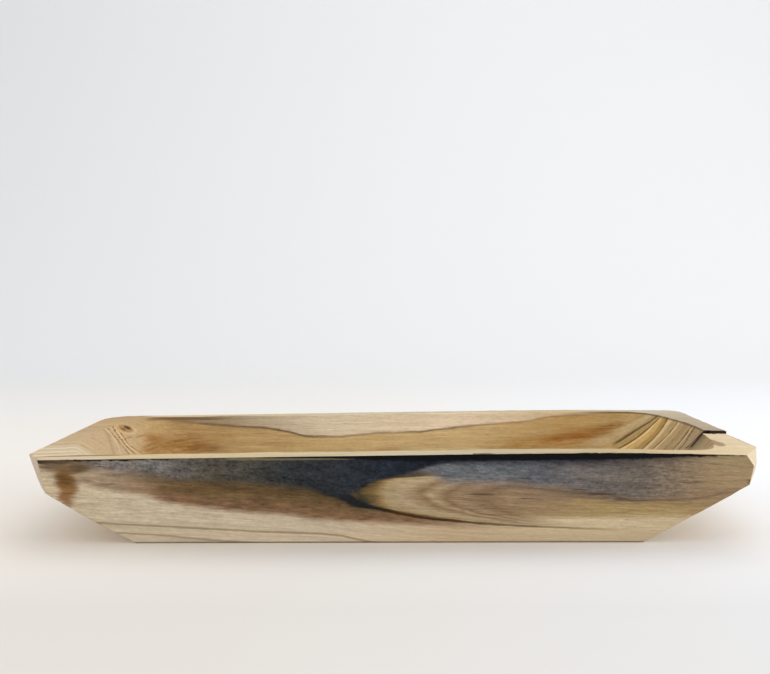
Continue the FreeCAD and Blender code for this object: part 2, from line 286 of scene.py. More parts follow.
# The flame's tip and the way its nested rings open to the right
FLAME_TIP = -27
FLAME_AXIS = ((-60, 38.5), (-14, 37.5), (20, 36.5), (60, 34.5), (110, 32), (170, 30), (256, 28))
FLAME_SPREAD = 4.05
FLAME_POWER = 1 / 0.34


def lay_spots(finish, shade, across, up, spots, light, where=1.0):
    """Lay soft oval spots over the wood."""
    for centre, reach, core, strength, tone in spots:
        share = finish.times(finish.spot(across, up, centre, reach, core), strength, where)
        shade = finish.over(shade, share, colour(*tone, light))
    return shade


def pale_foot(side, at):
    """Pale wood at the foot, greyer on the left and warmer on the right, with a few dark lines and painted
    shade along the base.
    """
    pale = side.bands(side.x, FOOT_LIGHT, (
        (-256, (162, 146, 120)), (-180, (174, 161, 139)), (-60, (178, 164, 142)), (40, (178, 158, 128)),
        (150, (178, 161, 131)), (256, (160, 140, 110))))
    layers = side.clouds((180, 9, 1.5), detail=4, rough=0.6, shift=2.2, at=at)
    shade = side.shaded(pale, side.add(1, side.times(layers, 0.10)))
    for line, start, end, strength in FOOT_LINES:
        offset = side.less(side.add(side.z, side.times(side.ragged, 0.35)), side.course(side.x, line))
        along = side.times(side.soft(side.x, start - 15, start + 15), side.soft(side.x, end + 25, end - 25))
        share = side.times(side.streak(offset, 1.2), along, strength)
        shade = side.over(shade, share, colour(112, 90, 58, FOOT_LIGHT))
    # Painted shade: a dark band along the base, where the rounded foot meets the floor.
    painted_foot_shade = side.times(side.soft(side.z, 1.7, 0.5), 0.75)
    return side.over(shade, painted_foot_shade, colour(62, 48, 32, FOOT_LIGHT))


def brown_stain(side, shade):
    """The brown stain under the scorch, redder towards its foot, with darker flecks."""
    above = side.less(side.z_soft, side.course(side.x, BROWN_FOOT))
    mottled = side.clouds((10, 12, 4), detail=4, rough=0.7, shift=4.4)
    brown = side.bands(side.add(above, side.times(side.ragged, 3)), SIDE_LIGHT, (
        (-4, (150, 122, 94)), (5, (118, 89, 63)), (13, (98, 77, 49)), (20, (82, 63, 35)),
        (34, (64, 58, 48))))
    brown = side.over(brown, side.soft(side.x, -150, -215), colour(120, 96, 71, SIDE_LIGHT))
    blotches = side.clouds((30, 12, 9), detail=4, rough=0.65, shift=16.4)
    brown = side.shaded(brown, side.add(0.95, side.times(mottled, 0.34), side.times(blotches, 0.2)))
    fade = side.soft(side.x, -245, -150)
    share = side.times(side.soft(above, -3, 4), side.calc("MULTIPLY_ADD", fade, 0.6, 0.38))
    return side.over(shade, side.times(share, side.soft(side.x, 95, 5)), brown)


def flame_rings(side):
    """The value that grows from ring to ring of the flame, and the share of each place in it."""
    axis = side.course(side.x, FLAME_AXIS)
    across = side.calc("ABSOLUTE", side.less(side.add(side.z, side.times(side.drift, 1.2)), axis))
    opened = side.calc("POWER", side.calc("DIVIDE", across, FLAME_SPREAD), FLAME_POWER)
    rings = side.less(side.less(side.x, FLAME_TIP), opened)
    within = side.times(side.soft(rings, -2, 3), side.soft(side.less(side.z, side.vein_height), -0.5, 1.5))
    return rings, within


def pale_flame(side, shade, rings, within, at):
    """The pale flame, with brown rings and streaks inside it."""
    wavy = side.add(rings, side.times(side.clouds((22, 20, 6), shift=6.5), 4))
    past_tip = side.times(side.soft(side.x, -16, 8), 16)
    flame = side.bands(side.add(wavy, past_tip), SIDE_LIGHT, (
        (0, (44, 44, 38)), (4, (74, 64, 40)), (9, (106, 86, 54)), (15, (134, 110, 72)),
        (22, (154, 134, 100)), (46, (162, 143, 114)), (62, (130, 106, 78)), (70, (158, 137, 108)),
        (79, (124, 100, 73)), (88, (148, 125, 98)), (104, (124, 101, 76)), (120, (142, 119, 92)),
        (170, (142, 117, 90)), (260, (150, 128, 98))))
    threads = side.clouds((26, 10, 1.4), detail=4, rough=0.65, shift=8.2, at=at)
    thread_share = side.times(side.soft(threads, 0.1, 0.9), side.soft(wavy, 40, 80), 0.75)
    flame = side.over(flame, thread_share, colour(92, 68, 46, SIDE_LIGHT))
    lower_right = side.times(side.soft(side.x, 70, 125), side.soft(side.z, 23, 17))
    share = side.times(within, side.soft(side.x, 250, 130), side.less(1, lower_right))
    return side.over(shade, share, flame)


def golden_end(side, shade):
    """The gold and grey-brown of the right-hand end."""
    above = side.less(side.z_soft, side.course(side.x, GOLD_FOOT))
    streaky = side.add(above, side.times(side.ragged, 3))
    gold = side.bands(streaky, SIDE_LIGHT, (
        (-6, (168, 150, 120)), (2, (156, 134, 92)), (9, (146, 122, 82)), (14, (116, 98, 78)),
        (24, (124, 106, 86)), (40, (134, 114, 92))))
    far_gold = side.bands(streaky, SIDE_LIGHT, (
        (-6, (156, 134, 104)), (4, (152, 128, 90)), (14, (133, 110, 83)), (26, (142, 120, 89)),
        (40, (144, 124, 92))))
    gold = side.over(gold, side.soft(side.x, 178, 225), far_gold)
    begun = side.soft(side.add(side.x, side.times(side.drift, 12)), 70, 150)
    share = side.times(begun, side.soft(above, -4, 2))
    return side.over(shade, share, gold)


def grey_haze(side, shade):
    """The grey haze below the scorch on the right, with dark streaks along its foot."""
    haze = side.bands(side.x, SIDE_LIGHT, (
        (0, (96, 98, 102)), (60, (98, 100, 103)), (100, (88, 89, 92)), (130, (98, 92, 88)),
        (170, (100, 91, 82)), (205, (124, 106, 86)), (256, (150, 130, 98))))
    mottled = side.clouds((7, 8, 3), detail=4, rough=0.7, shift=12.4)
    specks = side.clouds((2.4, 3, 1.6), rough=0.7, shift=9.2)
    haze = side.shaded(haze, side.add(1, side.times(mottled, 0.42), side.times(specks, 0.3)))
    depth = side.less(side.z_soft, side.course(side.x, HAZE_FOOT))
    share = side.times(side.soft(depth, -5, 6), side.soft(side.x, 2, 26), side.soft(side.x, 235, 180))
    shade = side.over(shade, share, haze)
    offset = side.less(side.add(side.z, side.times(side.ragged, 1.2)), side.course(side.x, HAZE_LINE))
    line = side.times(side.streak(offset, 1.5), side.soft(side.x, 60, 95), side.soft(side.x, 240, 215), 0.45)
    shade = side.over(shade, line, colour(84, 64, 46, SIDE_LIGHT))
    for centre, reach in HAZE_MARKS:
        speck = side.spot(side.x, side.add(side.z, side.ragged), centre, reach, 0.2)
        shade = side.over(shade, side.times(speck, 0.6), colour(62, 54, 46, SIDE_LIGHT))
    return shade


def dark_vein(side, shade):
    """The vein along the flame's lower edge, blue-black where it is widest."""
    height = side.add(side.z, side.times(side.ragged, 0.45))
    offset = side.calc("ABSOLUTE", side.less(height, side.vein_height))
    share = side.soft(side.calc("DIVIDE", offset, side.course(side.x, VEIN_WIDTH)), 1.3, 0.4)
    share = side.times(share, side.soft(side.x, -78, -48), side.soft(side.x, 170, 20))
    brown = colour(62, 44, 20, SIDE_LIGHT)
    blue_black = colour(26, 29, 31, SIDE_LIGHT)
    return side.over(shade, share, side.over(brown, side.soft(side.x, 5, -20), blue_black))


def scorched_band(side, shade):
    """The scorch under the rim: blue-black in the middle, and fading to grey at both ends."""
    depth = side.less(side.z_soft, side.course(side.x, SCORCH_FOOT))
    crisp = side.times(side.soft(side.x, -40, -20), side.soft(side.x, 50, 25))
    crisp_edge = side.soft(side.less(depth, side.times(side.ragged, 0.3)), -1.2, 1.8)
    edge = side.over(side.soft(depth, -5, 5), crisp, crisp_edge)
    scorch = side.bands(side.x, SIDE_LIGHT, (
        (-256, (120, 98, 74)), (-205, (112, 104, 98)), (-165, (103, 99, 96)), (-128, (76, 71, 62)),
        (-75, (44, 47, 48)), (-30, (38, 42, 48)), (10, (26, 32, 42)), (60, (20, 23, 34)),
        (140, (32, 33, 41)), (190, (66, 56, 46)), (256, (120, 100, 78))))
    cloudy = side.clouds((9, 12, 5), detail=4, rough=0.7, shift=2.9)
    grainy = side.clouds((2.4, 3, 1.6), rough=0.7, shift=5.2)
    scratches = side.clouds((0.8, 20, 9), detail=2, shift=6.1)
    where = side.soft(side.clouds((26, 30, 8), shift=3.3), -0.4, 0.7)
    side.scratched = side.times(side.soft(scratches, 0.3, 1.3), where, side.soft(side.x, 60, -60))
    factor = side.add(
        1, side.times(cloudy, 0.5), side.times(grainy, 0.55), side.times(side.scratched, 0.8))
    scorch = side.shaded(scorch, factor)
    return side.over(shade, side.times(edge, side.soft(side.x, -244, -205)), scorch)


def charred_and_shaded_line(side, shade):
    """The black line right under the rim, thick on the right, and thinner on the left: char, with painted
    shadow under the rounded rim edge.
    """
    below_rim = side.less(side.course(side.x, RIM_LINE), side.z)
    width = side.course(side.x, CHAR_AND_SHADOW_WIDTH)
    teeth = side.clouds((5, 8, 3), rough=0.7, shift=14.2)
    char_and_shadow = side.less(width, side.add(below_rim, side.times(side.ragged, 0.5), side.times(teeth, 0.9)))
    # Char, with painted shadow under the rounded rim edge.
    shade = side.over(shade, side.soft(char_and_shadow, -1.0, 0.6), colour(9, 8, 10, SIDE_LIGHT))
    strip = side.times(
        side.soft(side.less(side.course(side.x, STRIP_FOOT), below_rim), -0.6, 0.8),
        side.soft(side.less(below_rim, width), -0.2, 0.8),
        side.soft(side.add(side.x, side.times(teeth, 8)), -10, -34), 0.7)
    return side.over(shade, strip, colour(118, 106, 78, SIDE_LIGHT))


def end_stain(side, shade):
    """The orange-brown blotch near the left end, under a dark brown smear."""
    across = side.add(side.x, side.times(side.drift, 2), side.times(side.ragged, 1.2))
    up = side.add(side.z, side.times(side.ragged, 1.1))
    return lay_spots(side, shade, across, up, END_STAINS, SIDE_LIGHT)


def near_side_finish():
    """The scorched near side: a dark band under the rim, a brown stain, a pale flame and pale wood."""
    side = Finish("scorched_side", 0.8)
    side.z_soft = side.add(side.z, side.times(side.drift, 1.1), side.times(side.ragged, 0.9))
    side.vein_height = side.course(side.add(side.x, side.times(side.drift, 2)), VEIN)
    rings, within = flame_rings(side)
    flow = side.add(side.calc("DIVIDE", side.times(side.z, 30), side.vein_height), side.times(side.x, 0.05))
    flame_flow = side.add(side.times(side.less(side.z, side.course(side.x, FLAME_AXIS)), 1.2), 60)
    at = (side.x, side.y, side.over(flow, within, flame_flow))
    side.grain(at)
    shade = pale_foot(side, at)
    shade = brown_stain(side, shade)
    shade = pale_flame(side, shade, rings, within, at)
    shade = golden_end(side, shade)
    shade = grey_haze(side, shade)
    shade = dark_vein(side, shade)
    shade = scorched_band(side, shade)
    shade = charred_and_shaded_line(side, shade)
    shade = end_stain(side, shade)
    speckles = side.soft(side.clouds((1.6, 1.6, 1.2), detail=2, rough=0.7, shift=1.1), 0.5, 1.5)
    dirt = side.times(speckles, side.soft(side.z_soft, 8, 34), 0.3)
    shade = side.shaded(shade, side.less(1, dirt))
    side.relief = side.less(side.relief, side.times(side.scratched, 0.5))
    return side.complete(shade, side.calc("MULTIPLY_ADD", side.soft(side.z_soft, 8, 30), 0.8, 0.75), 0.25)


# The line on the far inner wall between the grey sapwood above and the golden wood below
SAP_LINE = (
    (-256, 66), (-215, 63), (-173, 59), (-140, 56.5), (-116, 55), (-93, 51.6), (-72, 47.6), (-54, 47.3),
    (-38, 48.4), (-24, 49.8), (0, 51), (20, 51.3), (38, 53.2), (65, 55.9), (92, 58.1), (122, 60.8),
    (145, 64.5), (256, 70))
SAP_LINE_STRENGTH = (
    (-256, 0), (-190, 0.3), (-150, 0.75), (-100, 0.9), (-50, 0.6), (0, 0.5), (35, 0.8), (80, 0.55),
    (145, 0.35), (256, 0))

# The painted shadow under the far rim, near the left end
RIM_SHADOW = ((-256, 63), (-209, 63.4), (-159, 63.2), (256, 66))

# Patches of heartwood on the far wall: centre, reach, slope, strength and colour
HEART_PATCHES = (
    ((-188, 42), (44, 11), 0, 0.9, (138, 96, 44)), ((-168, 38), (30, 5), 0, 0.75, (110, 70, 26)),
    ((-206, 47), (16, 4), 0.15, 0.6, (140, 98, 48)), ((-190, 45), (26, 1.7), 0.08, 0.65, (108, 72, 32)),
    ((-178, 50), (22, 1.4), 0.05, 0.5, (122, 84, 42)), ((-150, 47), (18, 5), 0, 0.55, (142, 94, 40)),
    ((-100, 40), (34, 5), 0, 0.3, (150, 112, 64)), ((-6, 36), (22, 3.5), 0, 0.6, (150, 100, 50)),
    ((128, 42), (66, 10), 0.06, 0.85, (148, 110, 54)), ((166, 49), (50, 8.5), 0.15, 0.9, (146, 98, 42)),
    ((194, 56), (26, 4), 0.2, 0.85, (126, 82, 36)), ((156, 47), (26, 4.5), 0.12, 0.6, (140, 84, 30)),
    ((182, 43.5), (22, 5), 0.22, 0.75, (184, 162, 128)))

# Growth lines cut across by the left end wall: (z, y) points, half width, strength, colour, height
LEFT_LINES = (
    (((46, -20), (51.5, -7), (55.5, 6.7), (59.2, 18.8), (62, 26), (66, 30)),
     4.2, 0.65, (154, 134, 100), -0.3),
    (((46, -8), (50, 3), (53.2, 12.7), (58, 22.5), (62.4, 31.6), (66, 34)),
     2.6, 0.7, (194, 170, 134), 0.15),
    (((46, 12), (49.5, 16.2), (54.8, 23), (59.4, 30.1), (63.4, 37.6), (66, 42)),
     1.5, 0.8, (134, 100, 64), -0.5),
    (((46, 16), (49.5, 20), (54.8, 26.6), (59.4, 34), (63.4, 42), (66, 46)),
     2.4, 0.5, (196, 168, 128), 0.2),
    (((46, 22.8), (50, 24.2), (55, 30.4), (59.5, 38.3), (64, 48.2), (66, 52)),
     1.6, 0.9, (112, 76, 42), -0.6),
    (((46, 26.5), (50, 27.8), (55, 33.6), (59.5, 41), (64, 51), (66, 54)),
     1.7, 0.8, (204, 170, 124), 0.25),
    (((44, 33), (49.2, 31), (53.8, 35.6), (58.8, 43.2), (62, 49), (66, 55)),
     1.3, 0.85, (122, 84, 46), -0.4),
    (((44, 36), (49.2, 34.2), (53.8, 38.6), (58.8, 45.4), (62, 51), (66, 57)),
     1.5, 0.5, (194, 158, 108), 0.2))

# The knot with its pale halo, the curved marks below it, a few pores, and the brown wood beside the
# far wall: (y, z) centre, reach, core, strength and colour
LEFT_MARKS = (
    ((57, 60.2), (15, 5.2), 0.7, 0.6, (196, 166, 120)), ((58, 60.4), (11, 3.9), 0.65, 0.8, (150, 114, 70)),
    ((53.5, 60.8), (4.2, 1.9), 0.3, 0.85, (112, 78, 42)),
    ((61.5, 60.6), (5.6, 2.5), 0.3, 0.97, (76, 52, 24)),
    ((76, 46), (22, 11), 0.3, 0.75, (150, 112, 62)), ((72, 50), (12, 5), 0.2, 0.6, (138, 96, 48)),
    ((45, 54.9), (8, 0.7), 0.3, 0.5, (136, 94, 48)), ((61, 53.4), (13, 0.9), 0.3, 0.6, (140, 96, 48)),
    ((66, 49.5), (16, 0.9), 0.3, 0.5, (136, 92, 44)), ((60, 46), (20, 1.0), 0.3, 0.5, (124, 82, 38)),
    ((1.7, 63.5), (1.4, 0.5), 0.2, 0.7, (104, 78, 48)), ((-6.5, 62.4), (1.6, 0.5), 0.2, 0.7, (98, 72, 44)),
    ((-6.9, 58.2), (1.8, 0.5), 0.2, 0.6, (104, 80, 50)), ((-26.7, 56.6), (2, 0.5), 0.2, 0.6, (104, 80, 50)))

# Streaks on the near half of the left lip: y, strength, half width and colour. They slant a little,
# and the shift undoes the slant at the middle of the lip.
LIP_STREAKS = (
    (-104, 0.85, 2.2, (134, 98, 58)), (-97, 0.7, 1.6, (226, 208, 176)), (-90, 0.7, 1.2, (150, 118, 82)),
    (-82, 0.6, 2.5, (224, 206, 174)), (-73, 0.55, 1.1, (158, 130, 96)), (-66, 0.6, 2.5, (220, 202, 170)),
    (-56, 0.45, 1.2, (170, 140, 106)), (-47, 0.5, 2.4, (150, 116, 76)), (-38, 0.35, 1.4, (214, 190, 152)))
LIP_SLANT = -0.12
LIP_SHIFT = 28

# Growth lines cut across by the right end wall, from far to near, written in the same way
RIGHT_LINES = (
    (((40, 88), (49, 91), (60, 90), (68, 87)), 4.6, 0.6, (184, 160, 116), 0.3),
    (((40, 82), (50, 79), (58, 77), (68, 76)), 6.0, 0.75, (156, 130, 76), 0.0),
    (((40, 85.5), (48, 85.2), (55, 83.8), (62, 81), (68, 78)), 1.9, 0.9, (86, 62, 30), -0.5),
    (((40, 77), (46, 75), (53, 73.5), (60, 72.5), (68, 72)), 1.7, 0.9, (96, 68, 34), -0.6),
    (((40, 72), (46, 69), (52, 67), (60, 68), (68, 70.5)), 2.6, 0.95, (214, 180, 118), 0.9),
    (((40, 66), (46, 62.5), (52, 61), (60, 62.5), (68, 66.5)), 4.0, 0.85, (192, 156, 92), 0.5),
    (((40, 56.5), (46, 55), (53, 56), (60, 58.8), (68, 64.5)), 3.6, 0.85, (150, 120, 66), -0.2),
    (((43, 50.5), (53, 53), (61, 57), (68, 63)), 1.5, 0.9, (104, 76, 40), -0.7),
    (((42, 43.5), (48, 45.7), (58, 50), (68, 57)), 3.6, 0.85, (200, 172, 124), 0.5),
    (((42, 39), (48, 40.5), (58, 44), (68, 50)), 3.0, 0.6, (160, 134, 92), 0.0),
    (((43, 34.5), (52, 37), (62, 40.5), (68, 45)), 1.3, 0.95, (96, 70, 38), -0.6),
    (((43, 31), (50, 33), (61, 36), (68, 41.5)), 2.4, 0.75, (202, 174, 128), 0.4),
    (((43, 24), (55, 28), (61, 30), (68, 34)), 3.4, 0.6, (158, 134, 96), 0.0),
    (((46, 17), (55, 22), (60, 24.5), (68, 29.5)), 1.0, 0.75, (114, 88, 52), -0.4),
    (((46, 11), (55, 17), (60, 19.5), (68, 23)), 3.0, 0.75, (146, 122, 72), 0.2),
    (((46, 2), (53, 6), (59, 10), (68, 16)), 1.7, 0.9, (92, 66, 32), -0.6),
    (((46, -4), (54, 2), (61, 7), (68, 13)), 2.4, 0.6, (188, 162, 120), 0.3),
    (((46, -12), (54, -5), (58, -1), (61, 3), (68, 9.5)), 1.5, 0.9, (92, 68, 38), -0.5),
    (((46, -20), (54, -11), (62, -5), (68, -1)), 5.0, 0.7, (152, 130, 100), 0.0))

# The crack in the right end wall, as (z, y) points, with its brown border and its dark middle, both
# painted shade in the open crack: half width, strength and colour
CRACK = ((48, -26), (58.5, -21.5), (62, -19.5), (64, -18.3), (67, -17))
CRACK_TONES = ((8, 0.65, (112, 86, 54)), (3.9, 0.98, (22, 17, 12)))

# The small growth ring on the right-hand lip and the paler heart in it: centre, reach and core
LIP_RING = ((233.5, -64), (8.5, 18), 0.75)
LIP_RING_HEART = ((231.5, -64), (7.5, 14), 0.6)

# The near rim's inner edge, as y, and the heart of the tree, which the year rings go round, as (y, z)
RIM_INNER_EDGE = -103
TREE_HEART = (260, 150)


def lay_lines(finish, shade, lines, light, where):
    """Lay growth lines over the wood of an end wall."""
    wavy_y = finish.add(finish.y, finish.times(finish.drift, 0.5), finish.times(finish.ragged, 0.25))
    for points, half_width, strength, tone, _ in lines:
        line = finish.streak(finish.less(wavy_y, finish.course(finish.z, points)), half_width * 1.25, 0.2)
        shade = finish.over(shade, finish.times(line, strength, where), colour(*tone, light))
    return shade


def left_end(finish, shade, light):
    """The left end's wood, the same on its wall, its soft shoulder and its lip."""
    x, y, z = finish.x, finish.y, finish.z
    where = finish.soft(finish.add(x, finish.times(finish.less(y, 40), 0.12)), -206, -219)
    tan = finish.bands(y, light, (
        (-110, (198, 179, 148)), (-60, (190, 171, 140)), (-40, (182, 156, 120)), (30, (177, 151, 115)),
        (70, (174, 146, 106)), (110, (168, 139, 97))))
    shade = finish.over(shade, where, tan)
    shade = lay_lines(finish, shade, LEFT_LINES, light, finish.times(where, finish.soft(z, 64.9, 63.2)))

    up = finish.add(z, finish.times(finish.drift, 0.3))
    on_wall = finish.times(finish.soft(x, -196, -206), finish.soft(z, 65, 63.6))
    shade = lay_spots(finish, shade, y, up, LEFT_MARKS, light, on_wall)
    for across, strength, width, tone in LIP_STREAKS:
        slanted = finish.add(y, finish.times(finish.drift, 1.5), finish.times(x, LIP_SLANT))
        line = finish.streak(finish.less(slanted, across + LIP_SHIFT), width)
        share = finish.times(line, finish.soft(x, -212, -238), strength)
        shade = finish.over(shade, share, colour(*tone, light))
    return shade


def right_end(finish, shade, light):
    """The right end's wood, with growth rings cut across, a painted shadow under the rim, and painted shade
    in the crack where the lip has split.
    """
    x, y, z = finish.x, finish.y, finish.z
    where = finish.soft(finish.add(x, finish.times(finish.ragged, 1.5)), 191, 199)
    base = finish.bands(y, light, (
        (-110, (176, 150, 110)), (-70, (172, 148, 108)), (-40, (150, 132, 98)), (-24, (128, 108, 74)),
        (-14, (150, 126, 92)), (30, (172, 146, 104)), (60, (176, 148, 98)), (92, (172, 146, 106)),
        (110, (160, 136, 98))))
    ring_field = finish.add(y, finish.times(z, -0.45), finish.times(finish.drift, 0.8))
    rings = finish.clouds((500, 2.6, 500), detail=2, shift=3.7, at=(x, ring_field, z))
    base = finish.shaded(base, finish.add(0.87, finish.times(rings, 0.13)))
    shade = finish.over(shade, finish.times(where, finish.soft(y, 99, 86)), base)
    shade = lay_lines(finish, shade, RIGHT_LINES, light, where)
    # Painted shadow: a thin dark line just under the sharp inner rim edge of the far half of the right lip.
    under_rim = finish.times(
        finish.soft(z, 66.7, 67.5), finish.soft(x, 150, 200), finish.soft(y, -14, -8), 0.75)
    shade = finish.over(shade, under_rim, colour(92, 76, 54, light))
    # Painted shade in the open crack: a brown border and a dark middle.
    offset = finish.less(y, finish.course(z, CRACK))
    for half_width, strength, tone in CRACK_TONES:
        gap = finish.times(finish.streak(offset, half_width), where, finish.soft(z, 55, 58), strength)
        shade = finish.over(shade, gap, colour(*tone, light))
    return shade


def lip_ring(finish, shade, light):
    """A small brown growth ring, cut across where the hollow meets the right-hand lip."""
    across = finish.add(finish.x, finish.times(finish.drift, 0.8))
    ring = finish.spot(across, finish.y, *LIP_RING)
    ring = finish.times(ring, finish.soft(finish.x, 228, 234))
    heart = finish.spot(across, finish.y, *LIP_RING_HEART)
    shade = finish.over(shade, finish.times(ring, 0.65), colour(128, 92, 58, light))
    return finish.over(shade, finish.times(ring, heart, 0.7), colour(160, 134, 98, light))


def hollow_finish():
    """The carved hollow: golden wood, with grey sapwood high on the far wall and ridged ends."""
    hollow = Finish("hollow_wood", 0.75, shift=1.3)
    x, y, z = hollow.x, hollow.y, hollow.z
    hollow.grain()
    gold = hollow.bands(x, HOLLOW_LIGHT, (
        (-256, (184, 156, 112)), (-190, (168, 136, 90)), (-90, (180, 153, 106)), (60, (189, 163, 117)),
        (150, (172, 140, 90)), (256, (168, 140, 94))))
    layers = hollow.clouds((90, 14, 3.4), detail=4, rough=0.65, shift=2.2)
    shade = hollow.shaded(gold, hollow.add(1, hollow.times(layers, 0.14)))
    far = hollow.soft(y, 20, 50)

    wavy_x = hollow.add(x, hollow.times(hollow.drift, 5), hollow.times(hollow.ragged, 1.5))
    wavy_z = hollow.add(z, hollow.times(hollow.ragged, 1.4))
    streaky = hollow.calc("MULTIPLY_ADD", hollow.soft(hollow.ragged, -0.9, 0.7), 0.65, 0.35)
    for centre, reach, slope, strength, tone in HEART_PATCHES:
        level_z = hollow.less(wavy_z, hollow.times(hollow.less(x, centre[0]), slope))
        patch = hollow.spot(wavy_x, level_z, centre, reach, 0.2)
        shade = hollow.over(shade, hollow.times(patch, strength, far, streaky), colour(*tone, HOLLOW_LIGHT))

    # The grey sapwood over its dark wavy line
    sap_foot = hollow.course(hollow.add(x, hollow.times(hollow.drift, 1.5)), SAP_LINE)
    above = hollow.less(hollow.add(z, hollow.times(hollow.ragged, 0.7)), sap_foot)
    sap = hollow.bands(x, HOLLOW_LIGHT, (
        (-256, (180, 156, 120)), (-190, (144, 123, 96)), (-145, (158, 140, 113)), (-60, (205, 190, 164)),
        (60, (214, 195, 168)), (150, (196, 174, 138)), (256, (186, 164, 130))))
    freckles = hollow.soft(hollow.clouds((1.6, 1.6, 1.4), detail=2, rough=0.7, shift=4.1), 0.4, 1.4)
    sap = hollow.shaded(sap, hollow.less(1, hollow.times(freckles, hollow.soft(above, 10, 1), 0.32)))
    shade = hollow.over(shade, hollow.times(hollow.soft(above, -0.6, 1.4), far), sap)
    line = hollow.times(
        hollow.streak(hollow.add(above, -0.3), 1.8, 0), hollow.course(x, SAP_LINE_STRENGTH), far)
    shade = hollow.over(shade, line, colour(98, 74, 56, HOLLOW_LIGHT))
    under_rim = hollow.less(z, hollow.course(x, RIM_SHADOW))
    shadow = hollow.times(
        hollow.streak(under_rim, 2.2, 0), hollow.soft(x, -232, -210), hollow.soft(x, -140, -165), far, 0.8)
    shade = hollow.over(shade, shadow, colour(104, 82, 58, HOLLOW_LIGHT))

    shade = left_end(hollow, shade, HOLLOW_LIGHT)
    shade = right_end(hollow, shade, HOLLOW_LIGHT)
    shade = lip_ring(hollow, shade, HOLLOW_LIGHT)
    return hollow.complete(shade, 0.95, 0.22)


def rim_finish():
    """The rim's top: fresh pale wood on the near side, greyer on the far half of the right lip, with painted
    shade along the near inner edge at the left.
    """
    rim = Finish("rim_wood", 0.72, shift=1.9)
    x, y = rim.x, rim.y
    rim.grain()
    pale = rim.bands(x, TOP_LIGHT, (
        (-256, (212, 192, 158)), (-200, (212, 189, 146)), (-60, (202, 185, 148)), (60, (196, 182, 152)),
        (150, (194, 171, 131)), (220, (214, 192, 152)), (256, (222, 200, 164))))
    lines = rim.clouds((140, 2.2, 2.2), rough=0.6, shift=5.2)
    shade = rim.shaded(pale, rim.add(1, rim.times(lines, 0.12)))
    shade = left_end(rim, shade, HOLLOW_LIGHT)
    far_lip = rim.times(rim.soft(x, 150, 215), rim.soft(y, SPLIT_Y - 0.5, SPLIT_Y + 0.5))
    grey = rim.bands(y, TOP_LIGHT, ((-20, (168, 152, 128)), (60, (178, 163, 138)), (118, (194, 182, 158))))
    shade = rim.over(shade, rim.times(far_lip, 0.92), grey)
    shade = lip_ring(rim, shade, TOP_LIGHT)
    # Painted shade: a brown streak along the near rim's inner edge at the left, where the hollow's near
    # corner lies in shade.
    painted_corner_shade = rim.streak(rim.less(rim.add(y, rim.times(rim.drift, 0.6)), RIM_INNER_EDGE), 3.2)
    painted_corner_shade = rim.times(painted_corner_shade, rim.soft(x, -246, -232), rim.soft(x, -176, -200), 0.8)
    shade = rim.over(shade, painted_corner_shade, colour(136, 100, 60, TOP_LIGHT))
    return rim.complete(shade, 0.75, 0.2)


def split_finish():
    """The dark walls of the split in the right-hand lip: painted shade inside the crack."""
    split = Finish("split_wood", 0.9, shift=3.3)
    split.grain()
    shade = split.shaded(colour(40, 32, 25, SIDE_LIGHT), split.add(1, split.times(split.ragged, 0.3)))
    return split.complete(shade, 1.0, 0.2)


def fresh_finish():
    """The fresh facets where corners have been knocked or chipped off."""
    fresh = Finish("fresh_wood", 0.78, shift=4.1)
    fresh.grain()
    shade = fresh.bands(fresh.x, TOP_LIGHT, (
        (-256, (196, 178, 158)), (-200, (196, 178, 158)), (200, (219, 203, 172)), (256, (219, 203, 172))))
    return fresh.complete(shade, 0.7, 0.25)


def under_finish():
    """The ends, the sloping undersides and the base: plain pale wood, with its year rings."""
    under = Finish("under_wood", 0.82, shift=5.9)
    y, z = under.y, under.z
    under.grain()
    ring_radius = under.calc("SQRT", under.add(
        under.calc("POWER", under.less(y, TREE_HEART[0]), 2),
        under.calc("POWER", under.less(z, TREE_HEART[1]), 2)))
    wavering = under.times(under.clouds((80, 30, 30), shift=3), 5)
    rings = under.calc("SINE", under.times(under.add(ring_radius, wavering), 0.75))
    late_wood = colour(176, 154, 120, UNDER_LIGHT)
    early_wood = colour(206, 186, 152, OUTER_LIGHT)
    tone = under.over(late_wood, under.soft(rings, -1, 1), early_wood)
    shade = under.over(tone, under.times(under.soft(z, 40, 66), 0.35), colour(110, 96, 84, UNDER_LIGHT))
    return under.complete(shade, 1.0, 0.3)


def far_side_finish():
    """The far long side: the same pale wood, with a lighter scorch under its rim."""
    side = Finish("far_side_wood", 0.8, shift=11.7)
    side.grain()
    layers = side.clouds((180, 9, 2.0), detail=4, rough=0.6, shift=12.2)
    shade = side.shaded(colour(190, 170, 136, OUTER_LIGHT), side.add(1, side.times(layers, 0.14)))
    depth = side.less(side.add(side.z, side.times(side.drift, 7), side.times(side.ragged, 1.5)), 36)
    mottled = side.clouds((8, 8, 4), detail=4, rough=0.7, shift=15.0)
    brown = side.shaded(colour(140, 110, 74, OUTER_LIGHT), side.add(1, side.times(mottled, 0.3)))
    dark = side.shaded(colour(78, 74, 72, OUTER_LIGHT), side.add(1, side.times(mottled, 0.4)))
    shade = side.over(shade, side.times(side.soft(depth, -12, 8), 0.6), brown)
    shade = side.over(shade, side.times(side.soft(depth, 8, 26), 0.75), dark)
    burnt = side.soft(side.add(side.z, side.times(side.ragged, 0.5)), 64.5, 66.5)
    shade = side.over(shade, burnt, colour(34, 30, 28, OUTER_LIGHT))
    return side.complete(shade, 1.1, 0.25)


FINISHES = {
    "near_side": near_side_finish, "hollow": hollow_finish, "rim": rim_finish, "split": split_finish,
    "fresh": fresh_finish, "under": under_finish, "far_side": far_side_finish}
ZONES = list(FINISHES)

# The dressed bowl: a copy of the carved solid, cut into a fine net and worked by hand

NET = 3.0
TOOL_DEPTH = 0.45
SKIN_DEPTH = 0.3

